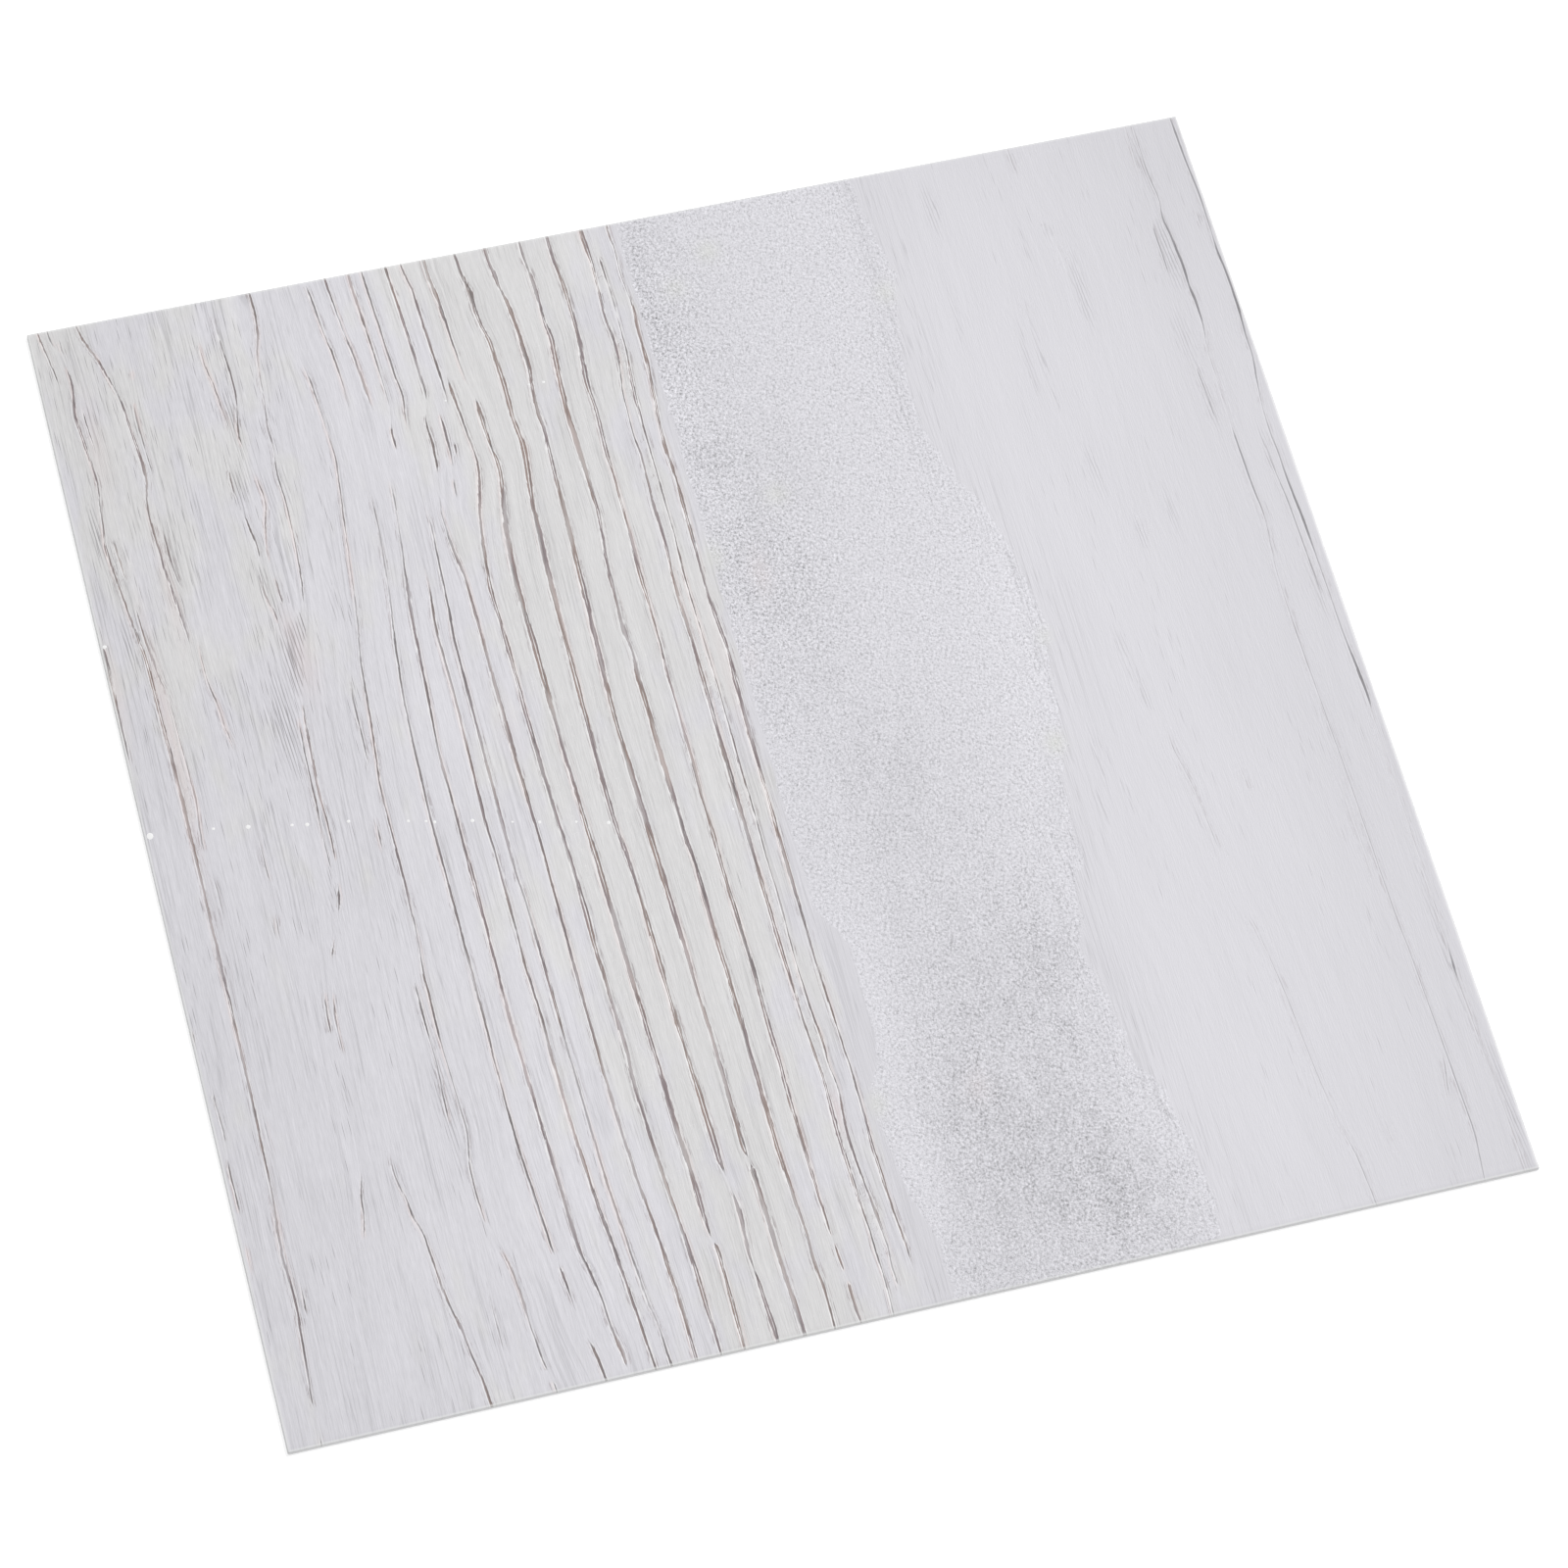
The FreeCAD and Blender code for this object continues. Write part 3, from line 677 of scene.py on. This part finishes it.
class Finish:
    """The nodes of a material or of the world, under construction."""

    def __init__(self, owner):
        self.owner = owner
        owner.use_nodes = True
        self.tree = owner.node_tree
        self.tree.nodes.clear()

    def node(self, kind, settings=None, sockets=None, output=0):
        """Adds a node, sets it, fills its sockets with values or wires, and returns one output."""
        node = self.tree.nodes.new(kind)
        for name, value in (settings or {}).items():
            setattr(node, name, value)
        for key, value in (sockets or {}).items():
            if isinstance(value, Wire):
                self.tree.links.new(value.socket, node.inputs[key])
            else:
                node.inputs[key].default_value = value
        return Wire(self, node.outputs[output]) if node.outputs else None

    def maths(self, operation, *terms):
        return self.node("ShaderNodeMath", {"operation": operation}, dict(enumerate(terms)))

    def attribute(self, name):
        return self.node("ShaderNodeAttribute", {"attribute_name": name}, output="Vector")

    def split(self, vector):
        first = self.node("ShaderNodeSeparateXYZ", sockets={0: vector})
        return [Wire(self, socket) for socket in first.socket.node.outputs]

    def object_place(self):
        """The point on the tile, in mm."""
        place = self.node("ShaderNodeTexCoord", output="Object")
        return self.node("ShaderNodeVectorMath", {"operation": "SCALE"}, {0: place, "Scale": 1 / MM})

    def stretched(self, vector, x, y, z=1.0, shift=0.0, turn=0.0):
        """The place, turned by some degrees and scaled to repeat x, y and z times a millimetre."""
        mapping = {"vector_type": "POINT"}
        if turn:
            turned = {"Vector": vector, "Rotation": (0, 0, math.radians(turn))}
            vector = self.node("ShaderNodeMapping", mapping, turned)
        moved = {"Vector": vector, "Scale": (x, y, z), "Location": (shift, shift * 0.7, shift)}
        return self.node("ShaderNodeMapping", mapping, moved)

    def noise(self, vector, detail=2.0, roughness=0.5, dimensions="2D"):
        return self.node("ShaderNodeTexNoise", {"noise_dimensions": dimensions},
                         {"Vector": vector, "Scale": 1.0, "Detail": detail, "Roughness": roughness})

    def cells(self, vector):
        """Scattered cells: how far the nearest middle is, and a random number of the cell's own."""
        far = self.node("ShaderNodeTexVoronoi", {"voronoi_dimensions": "2D"},
                        {"Vector": vector, "Scale": 1.0})
        number, _, _ = self.split(Wire(self, far.socket.node.outputs["Color"]))
        return far, number

    def step(self, value, low, high, start=0.0, end=1.0):
        """A smooth step of the value from start at low to end at high."""
        return self.node("ShaderNodeMapRange", {"interpolation_type": "SMOOTHSTEP"},
                         {0: value, 1: low, 2: high, 3: start, 4: end})

    def fall(self, value, low, high):
        """A smooth step of the value from 1 at low down to 0 at high."""
        return self.step(value, low, high, 1.0, 0.0)

    def mix(self, share, first, second):
        """Two colours mixed, all of the second where the share is 1."""
        return self.node("ShaderNodeMix", {"data_type": "RGBA"}, {0: share, 6: first, 7: second}, output=2)

    def mix_number(self, share, first, second):
        """Two numbers mixed, all of the second where the share is 1."""
        return self.node("ShaderNodeMix", {"data_type": "FLOAT"}, {0: share, 2: first, 3: second})

    def toned(self, colour, tone):
        """The colour, lighter or darker by a factor."""
        colour = colour if isinstance(colour, Wire) else colour[:3]
        return self.node("ShaderNodeVectorMath", {"operation": "SCALE"}, {0: colour, "Scale": tone})

    def bump(self, height, strength, distance):
        sockets = {"Height": height, "Strength": strength, "Distance": distance}
        return self.node("ShaderNodeBump", {}, sockets)

    def seen_directly(self):
        """1 for rays from the camera, and for those that gloss or glass shows it, else 0."""
        path = self.node("ShaderNodeLightPath").socket.node.outputs
        camera, glossy, through = (Wire(self, path[name]) for name in
                                   ("Is Camera Ray", "Is Glossy Ray", "Is Transmission Ray"))
        return camera.above(glossy).above(through)

    def close(self, sockets):
        """Ends the material in a Principled shader with these sockets."""
        shader = self.node("ShaderNodeBsdfPrincipled", {}, sockets)
        self.node("ShaderNodeOutputMaterial", {}, {"Surface": shader})
        return self.owner


LILAC_PAINT = srgb(217.5, 216.2, 221.7)
NEUTRAL_PAINT = srgb(219, 218, 218.5)
# A painted highlight, for the lips of the grain lines' grooves and the gaps between twin strands.
LIP_HIGHLIGHT_WHITE = srgb(243, 241, 241)
# A painted highlight along the rolled rim.
RIM_HIGHLIGHT_WHITE = srgb(236, 237, 236)
GREY_INK = srgb(110, 105, 106)
TAN_INK = srgb(158, 138, 131)
MAUVE_INK = srgb(149, 134, 137)
PORE_INK = srgb(128, 125, 129)
# Painted shade: the cool grey of the grain lines on the pale board stands in for the shade in their shallow
# grooves.
GROOVE_SHADE_GREY = srgb(148, 147, 152)
PINK_WASH = srgb(228, 209, 206)
GREEN_STAIN = srgb(218, 220, 210)
WORN_GREY = srgb(214, 213, 218.5)
VINYL_CORE = srgb(243, 243, 244)
VINYL_BACK = srgb(205, 205, 207)
DOT_WHITE = srgb(246, 246, 246)

# How far each layer of the print, and each painted highlight on the lips and the rim, covers the layers
# under it.
COMB_MARKS = 0.10
PORE_COVER = 0.75
STRAND_COVER = 0.6
WASH_COVER = 0.45
LIP_HIGHLIGHT_COVER = 0.85
INK_COVER = 0.95
RIM_HIGHLIGHT_COVER = 0.6
# The face's roughness, and its finest relief in mm.
FACE_ROUGHNESS = 0.44
FIBRE_RELIEF = 0.03
STIPPLE_RELIEF = 0.16
WORN_BASE = 1.085  # the worn band's tone, before its mottle and its painted hollow shade are taken off

# Patterns of the print between its lines: whether they follow the lines (grain) or not (place), how
# often they repeat a millimetre across and along the grain, their shift, turn, detail and roughness.
PATTERNS = {
    "fibre": ("place", 2.8, 0.30, 0, 0.6, 2.0, 0.6),
    "strokes": ("grain", 0.55, 0.022, 31, 0, 1.0, 0.5),
    "broad": ("place", 0.035, 0.012, 0, 0, 2.0, 0.5),
    "patches": ("place", 0.12, 0.05, 3, 0, 2.0, 0.5),
    "hairs": ("grain", 1.5, 0.025, 41, 0, 2.0, 0.7),
    "hairlines": ("grain", 1.1, 0.012, 53, 0, 1.0, 0.6),
    "hairline_patches": ("grain", 0.14, 0.03, 61, 0, 1.0, 0.5),
    "pore_patches": ("grain", 0.11, 0.025, 19, 0, 1.0, 0.5),
    "torn": ("place", 0.33, 0.22, 5, 0, 4.0, 0.7),
    "blotches": ("place", 0.17, 0.08, 43, 0, 2.0, 0.5),
    "lumps": ("place", 1.4, 1.25, 11, 24, 2.0, 0.7),
    "threads": ("place", 2.1, 1.9, 17, 51, 2.0, 0.65),
    "drag": ("place", 0.8, 0.012, 37, 0, 1.0, 0.7),
    "run": ("grain", 0.6, 0.035, 23, 0, 1.0, 0.5),
    "hue": ("grain", 0.22, 0.035, 13, 0, 1.0, 0.5),
}
# Strokes of a comb of pores in each millimetre across the grain, and along it, because they lean.
STROKES_ACROSS, STROKES_ALONG = 1.2, 0.08


class PrintedFace(Finish):
    """The decor: whitewashed oak with open grain lines on the left, a worn pale board on the right."""

    def __init__(self):
        super().__init__(bpy.data.materials.new("whitewashed_wood_print"))
        self.grain = self.attribute("grain")
        self.reach, self.half, self.offset = self.split(self.attribute("line"))
        self.past_right, self.past_left, self.coarse = self.split(self.attribute("bands"))
        self.clouds, self.opened, self.stain = self.split(self.attribute("marks"))
        self.tone, self.neutral, self.oak = self.split(self.attribute("cast"))
        self.place = self.object_place()
        self.x, self.y, _ = self.split(self.place)
        self.left_board = self.fall(self.x, SEAM - 0.3, SEAM + 0.3)
        self.inland = (HALF - abs(self.x)).below(HALF - abs(self.y))
        self.shown = self.step(self.half, -0.05, 0.10)
        self.fibre = self.swing("fibre")
        self.strokes = self.swing("strokes")
        _, strand = self.cells(self.stretched(self.place, 4.2, 0.20, shift=29))
        self.strand = strand - 0.5

    def pattern(self, name):
        """One of the print's patterns, from 0 to 1."""
        follows, across, along, shift, turn, detail, roughness = PATTERNS[name]
        field = self.stretched(getattr(self, follows), across, along, shift=shift, turn=turn)
        return self.noise(field, detail, roughness)

    def swing(self, name):
        """The same pattern, to both sides of 0."""
        return self.pattern(name) - 0.5

    def boards(self, pale, left):
        """A number that differs between the pale board and the left one."""
        return self.mix_number(self.left_board, pale, left)

    def painted(self):
        """The pale coat, brushed along the grain."""
        broad = self.swing("broad")
        neutral = self.neutral * 0.9 + (broad + self.swing("patches") * 1.8) * self.left_board
        brushed = 1 + self.swing("hairs") * self.boards(0.06, 0.19) + self.strokes * self.boards(0.04, 0.09)
        brushed = brushed + broad * 0.04 + self.fibre * (self.boards(0.045, 0.16) + self.oak * 0.06)
        brushed = brushed + self.strand * self.left_board * 0.04
        brushed = brushed - self.hairlines() * (self.boards(0.06, 0.12) + self.oak * 0.07)
        paint = self.mix(self.step(neutral, 0.2, 0.8), LILAC_PAINT, NEUTRAL_PAINT)
        return self.toned(paint, brushed * self.tone)

    def hairlines(self):
        """Long hair-thin grain lines between the open ones, in patches."""
        patch = self.pattern("hairline_patches") + self.oak * 0.06
        shown = (self.step(patch, 0.42, 0.58) * self.boards(0.4, 1.0)).above(self.opened)
        return self.fall(abs(self.swing("hairlines")), 0.012, 0.042) * shown

    def strands(self):
        """Thin strands of ink that run beside the open lines."""
        across, along, _ = self.split(self.grain)
        sockets = {0: self.offset * 1.5, 1: along * 0.03 + across * 0.05}
        beside = self.node("ShaderNodeCombineXYZ", {}, sockets)
        field = self.noise(beside, detail=1.0, roughness=0.7) - 0.5
        close_by = self.fall(self.reach, 0.5, 1.7) * self.shown * self.left_board.above(0.5)
        broken = self.step(self.fibre, -0.08, 0.04)
        return self.fall(abs(field), 0.015, 0.05) * close_by * broken

    def pores(self):
        """How open the oak's pores are: short dark strokes along the grain, thicker beside its lines."""
        far, number = self.cells(self.stretched(self.place, 2.0, 0.06, shift=7, turn=-0.8))
        beside = self.fall(self.reach - self.oak * 2.0, 0.2, 1.4) * self.shown * self.left_board
        denser = self.swing("pore_patches") * 1.3 - (1 - self.oak) * self.boards(0.22, 0.46)
        denser = denser + beside * 0.3 + self.opened * 0.5 + self.beside_worn(8.0) * 0.3
        stroke = self.fall(far - self.opened * 0.04, 0.06, 0.20)
        return stroke * self.step(number + denser, 0.70, 0.90) * self.boards(0.5, 1.0)

    def combs(self):
        """Parallel strokes, about a millimetre apart, where the pores lie open in a cluster."""
        wander = self.strokes * self.boards(1.3, 0.5) + self.fibre * self.boards(0.4, 0.12)
        count = self.x * STROKES_ACROSS + self.y * STROKES_ALONG + wander
        stroke = self.fall(abs(self.maths("FRACT", count) - 0.5), 0.07, 0.23)
        shown = self.step(self.opened * self.boards(1.5, 1.0) + self.fibre + self.strokes, 0.22, 0.50)
        strength = (self.opened * 0.9 + 0.05).below(0.95) * self.boards(0.6, 1.0)
        return stroke * shown * strength * (0.85 + self.strand * 0.5)

    def worn(self):
        """Where the right board is worn, how light it is there, and its rough relief."""
        torn, lumps, threads = self.swing("torn"), self.swing("lumps"), self.swing("threads")
        past = self.past_right + torn * 6.0
        share = self.fall(past, -0.2, 0.2) * self.step(self.past_left + torn * 3.0, -0.3, 0.4)
        patchy = (self.swing("blotches") * 1.4 + torn * 2.0) * (self.clouds + 0.2)
        dark = (self.clouds + patchy).below(1.7)
        # The squiggles and the lumps darken the band where its stipple relief dips: painted shade in those
        # hollows, over the band's own mottle.
        squiggles = self.fall(abs(threads), 0.02, 0.08) * self.step(lumps + dark * 0.06, -0.02, 0.10)
        specks = self.step(lumps + threads * 0.5, 0.12, 0.24)
        _, grit = self.cells(self.stretched(self.place, 2.4, 2.0, shift=47, turn=33))
        grit = grit + lumps * 0.6
        bitten = self.step(grit, 0.70, 0.95) - self.fall(grit, 0.05, 0.20)
        mottle_and_hollow_shade = squiggles * 0.22 + specks * 0.20 + bitten * 0.11 + lumps * 0.8 - threads * 0.6 - 0.05
        rough = 0.62 + self.coarse * 0.42 + dark * 0.12 + torn * 0.9
        rim = self.fall(abs(past + 0.35), 0.15, 0.45) * self.step(torn, -0.05, 0.1)
        tone = WORN_BASE - mottle_and_hollow_shade * rough - dark * 0.12 - torn * 0.06 - rim * 0.06
        stipple = (lumps + threads * 0.8) * (0.7 + self.coarse * 0.4 + self.clouds * 0.1)
        inside = self.fall(self.past_right, -1.5, 1.5) * self.step(self.past_left, -0.5, 1.0)
        return share, tone, stipple * inside

    def beside_worn(self, reach):
        """1 along the right side of the worn band, fading out past it."""
        return self.step(self.past_right, -10.0, -2.0) * self.fall(self.past_right, 2.0, reach)

    def combed(self):
        """Fine drag marks of the brush along the worn band's right side."""
        marks = self.fall(abs(self.swing("drag")), 0.012, 0.045)
        left = self.fall(self.past_left, -1.0, 2.5) * (1 - self.left_board)
        return marks * self.beside_worn(18.0).above(left)

    def lines(self):
        """The grain lines: how dark their ink is, its colour (a painted groove shade on the pale board),
        the painted highlight along their lips and between twin strands, and the wash beside them.
        """
        run = self.pattern("run")
        torn = (self.strand * 0.26 + self.fibre * 0.5) * self.boards(0.3, 1.0)
        edge = self.reach + torn * self.step(self.half, 0.1, 0.4, 0.6, 1.0)
        edge = edge + self.oak * 0.10 - 0.05 + self.step(self.x, -24.0, -16.0) * 0.09
        fade = self.step(run, 0.36, 0.50, 0.6, 1.0) * self.step(self.half, 0.04, 0.18, 0.4, 1.0)
        fade = self.boards(self.step(self.half, 0.05, 0.30, 0.30, 0.9), fade)
        gap = self.fall(abs(self.offset + self.fibre * 0.3), 0.06, 0.15) * self.step(self.half, 0.24, 0.34)
        gap = gap * self.step(run + self.strand * 0.1, 0.50, 0.57) * self.left_board
        ink = self.fall(edge, -0.06, 0.06) * fade * (1 - gap)
        sway = (run - 0.5) * self.half * 5.0
        streak = self.fall(abs(self.offset - sway + self.fibre * 0.2), 0.05, 0.15)
        core = self.step(edge, -0.14, -0.04, 1.0, 0.6) * self.step(self.half, 0.12, 0.28)
        colour = self.mix(self.step(self.pattern("hue"), 0.42, 0.58), MAUVE_INK, TAN_INK)
        colour = self.mix(core * (1 - streak * 0.75), GREY_INK, colour)
        # On the pale board the lines take a cool grey that is painted shade in their grooves, with greyer
        # ink in the widest.
        pale_board_groove_shade = self.mix(self.step(self.half, 0.22, 0.40) * 0.6, GROOVE_SHADE_GREY, GREY_INK)
        colour = self.toned(self.mix(self.left_board, pale_board_groove_shade, colour), 0.88 + self.strand * 0.24)
        # Painted highlight along the grooves' lips; the gap between twin strands is painted with it too.
        lip_highlight = self.step(edge, 0.05, 0.10) * self.fall(edge, 0.16, 0.34) * self.shown * fade
        lip_highlight = lip_highlight * (1 - self.oak * 0.5) * self.boards(0.3, 1.0)
        wash = self.fall(edge, 0.0, 1.0) * self.step(self.strokes, 0.0, 0.16) * self.shown * self.left_board
        return ink, colour, (lip_highlight + gap * self.shown).below(1.0), wash.above(self.stain)

    def finished(self):
        """The face's material: paint, worn band, stains, pores and lines, one over the other."""
        worn, worn_tone, stipple = self.worn()
        ink, ink_colour, lip_highlight, wash = self.lines()
        colour = self.mix(worn, self.painted(), self.toned(WORN_GREY, worn_tone * self.tone))
        colour = self.toned(colour, 1 - self.combed() * COMB_MARKS)
        colour = self.mix((self.stain * -0.6).above(0.0), colour, GREEN_STAIN)
        colour = self.mix((self.pores() * PORE_COVER).above(self.combs()), colour, PORE_INK)
        colour = self.mix(self.strands() * STRAND_COVER, colour, self.toned(MAUVE_INK, 0.8))
        colour = self.mix(wash * WASH_COVER, colour, PINK_WASH)
        # Painted highlight on the lips and in the gaps of twin strands.
        colour = self.mix(lip_highlight * LIP_HIGHLIGHT_COVER, colour, LIP_HIGHLIGHT_WHITE)
        colour = self.mix(ink * INK_COVER, colour, ink_colour)
        # Painted highlight on the rolled rim, within about a millimetre of the outer edge.
        colour = self.mix(self.fall(self.inland, 0.3, 0.9) * RIM_HIGHLIGHT_COVER, colour, RIM_HIGHLIGHT_WHITE)
        height = self.fibre * FIBRE_RELIEF - stipple * STIPPLE_RELIEF
        return self.close({
            "Base Color": colour,
            "Roughness": FACE_ROUGHNESS + worn * 0.12 + ink * 0.2 + self.fibre * 0.1,
            "Normal": self.bump(height, 1.0, MM),
        })


def white_dot_finish():
    """Plain white for the small dots, a little glossier than the face."""
    f = Finish(bpy.data.materials.new("plain_white_dots"))
    grain = f.noise(f.stretched(f.object_place(), 5.0, 3.0), detail=1.0) - 0.5
    return f.close({
        "Base Color": f.toned(DOT_WHITE, 1 + grain * 0.06),
        "Roughness": 0.35 + grain * 0.1,
        "Normal": f.bump(grain * 0.01, 0.5, MM),
    })


def cut_edge():
    """The die-cut side: the pale vinyl core, with faint drag lines from the blade."""
    f = Finish(bpy.data.materials.new("die_cut_vinyl_core"))
    place = f.object_place()
    drag = f.noise(f.stretched(place, 1.4, 1.4, 7.0), detail=3.0, dimensions="3D") - 0.5
    cloudy = f.noise(f.stretched(place, 0.08, 0.08, 0.5), detail=2.0, dimensions="3D") - 0.5
    return f.close({
        "Base Color": f.toned(VINYL_CORE, 1 + drag * 0.10 + cloudy * 0.06),
        "Roughness": 0.55 + drag * 0.2,
        "Normal": f.bump(drag * 0.02, 0.6, MM),
    })


def plain_back():
    """The calendered back: matt, with a fine even mottle."""
    f = Finish(bpy.data.materials.new("calendered_vinyl_back"))
    place = f.object_place()
    mottle = f.noise(f.stretched(place, 0.9, 0.9), detail=4.0, roughness=0.7) - 0.5
    rolling = f.noise(f.stretched(place, 0.25, 0.02), detail=2.0) - 0.5
    return f.close({
        "Base Color": f.toned(VINYL_BACK, 1 + mottle * 0.12 + rolling * 0.08),
        "Roughness": 0.7 + mottle * 0.2,
        "Normal": f.bump(mottle * 0.05, 0.6, MM),
    })


FLOOR_WHITE = (0.9, 0.9, 0.9, 1.0)
PURE_WHITE = (1.0, 1.0, 1.0, 1.0)
FLOOR_GLOW = 0.45
FLOOR_HALF = 2.5
FLOOR_DROP = 0.00002
WORLD_LIGHT = 0.515
KEY_STRENGTH = 1.9
KEY_FROM = (0.75, 0.60, 0.96)
KEY_SOFTNESS = 25.0
SENSOR_WIDTH = 36.0
FOCAL_LENGTH = 122.2
NEAREST_SEEN, FARTHEST_SEEN = 0.05, 20.0
CAMERA_PLACE = (-0.21567, -0.54777, 1.16938)
CAMERA_RIGHT = (0.96492, -0.25479, 0.06333)
CAMERA_UP = (0.20242, 0.87560, 0.43857)


def pale_floor():
    """White ground that keeps the tile's contact shadow."""
    f = Finish(bpy.data.materials.new("pale_ground"))
    return f.close({
        "Base Color": FLOOR_WHITE,
        "Roughness": 0.9,
        "Specular IOR Level": 0.0,
        "Emission Color": PURE_WHITE,
        "Emission Strength": f.seen_directly() * FLOOR_GLOW,
    })


def make_floor():
    bm = bmesh.new()
    bmesh.ops.create_grid(bm, x_segments=4, y_segments=4, size=FLOOR_HALF)
    bmesh.ops.translate(bm, vec=(0, 0, -FLOOR_DROP), verts=bm.verts)
    floor = new_object(bm, "ground")
    floor.data.materials.append(pale_floor())


def light_studio():
    """An even white surround and one soft key from beyond the far right corner."""
    world = bpy.data.worlds.new("white_studio")
    f = Finish(world)
    strength = WORLD_LIGHT + f.seen_directly() * (1.0 - WORLD_LIGHT)
    surround = f.node("ShaderNodeBackground", {}, {"Color": PURE_WHITE, "Strength": strength})
    f.node("ShaderNodeOutputWorld", {}, {"Surface": surround})
    bpy.context.scene.world = world

    lamp = bpy.data.lights.new("soft_key", "SUN")
    lamp.energy = KEY_STRENGTH
    lamp.angle = math.radians(KEY_SOFTNESS)
    key = bpy.data.objects.new("soft_key", lamp)
    key.location = KEY_FROM
    key.rotation_euler = Vector(KEY_FROM).to_track_quat("Z", "Y").to_euler()
    bpy.context.scene.collection.objects.link(key)


def place_camera():
    """The photograph's view: from the near left, steeply down, turned a little."""
    photo = bpy.data.cameras.new("photo")
    photo.sensor_width = SENSOR_WIDTH
    photo.lens = FOCAL_LENGTH
    photo.clip_start = NEAREST_SEEN
    photo.clip_end = FARTHEST_SEEN
    right, up = Vector(CAMERA_RIGHT), Vector(CAMERA_UP)
    turn = Matrix((right, up, right.cross(up))).transposed().to_4x4()
    camera = bpy.data.objects.new("photo", photo)
    camera.matrix_world = Matrix.Translation(CAMERA_PLACE) @ turn
    bpy.context.scene.collection.objects.link(camera)
    bpy.context.scene.camera = camera


tile = make_tile()
for finish in (PrintedFace().finished(), cut_edge(), plain_back()):
    tile.data.materials.append(finish)
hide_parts("vinyl_tile")
white_dots = make_white_dots()
white_dots.data.materials.append(white_dot_finish())

make_floor()
light_studio()
place_camera()
bpy.context.scene.view_settings.view_transform = "Standard"
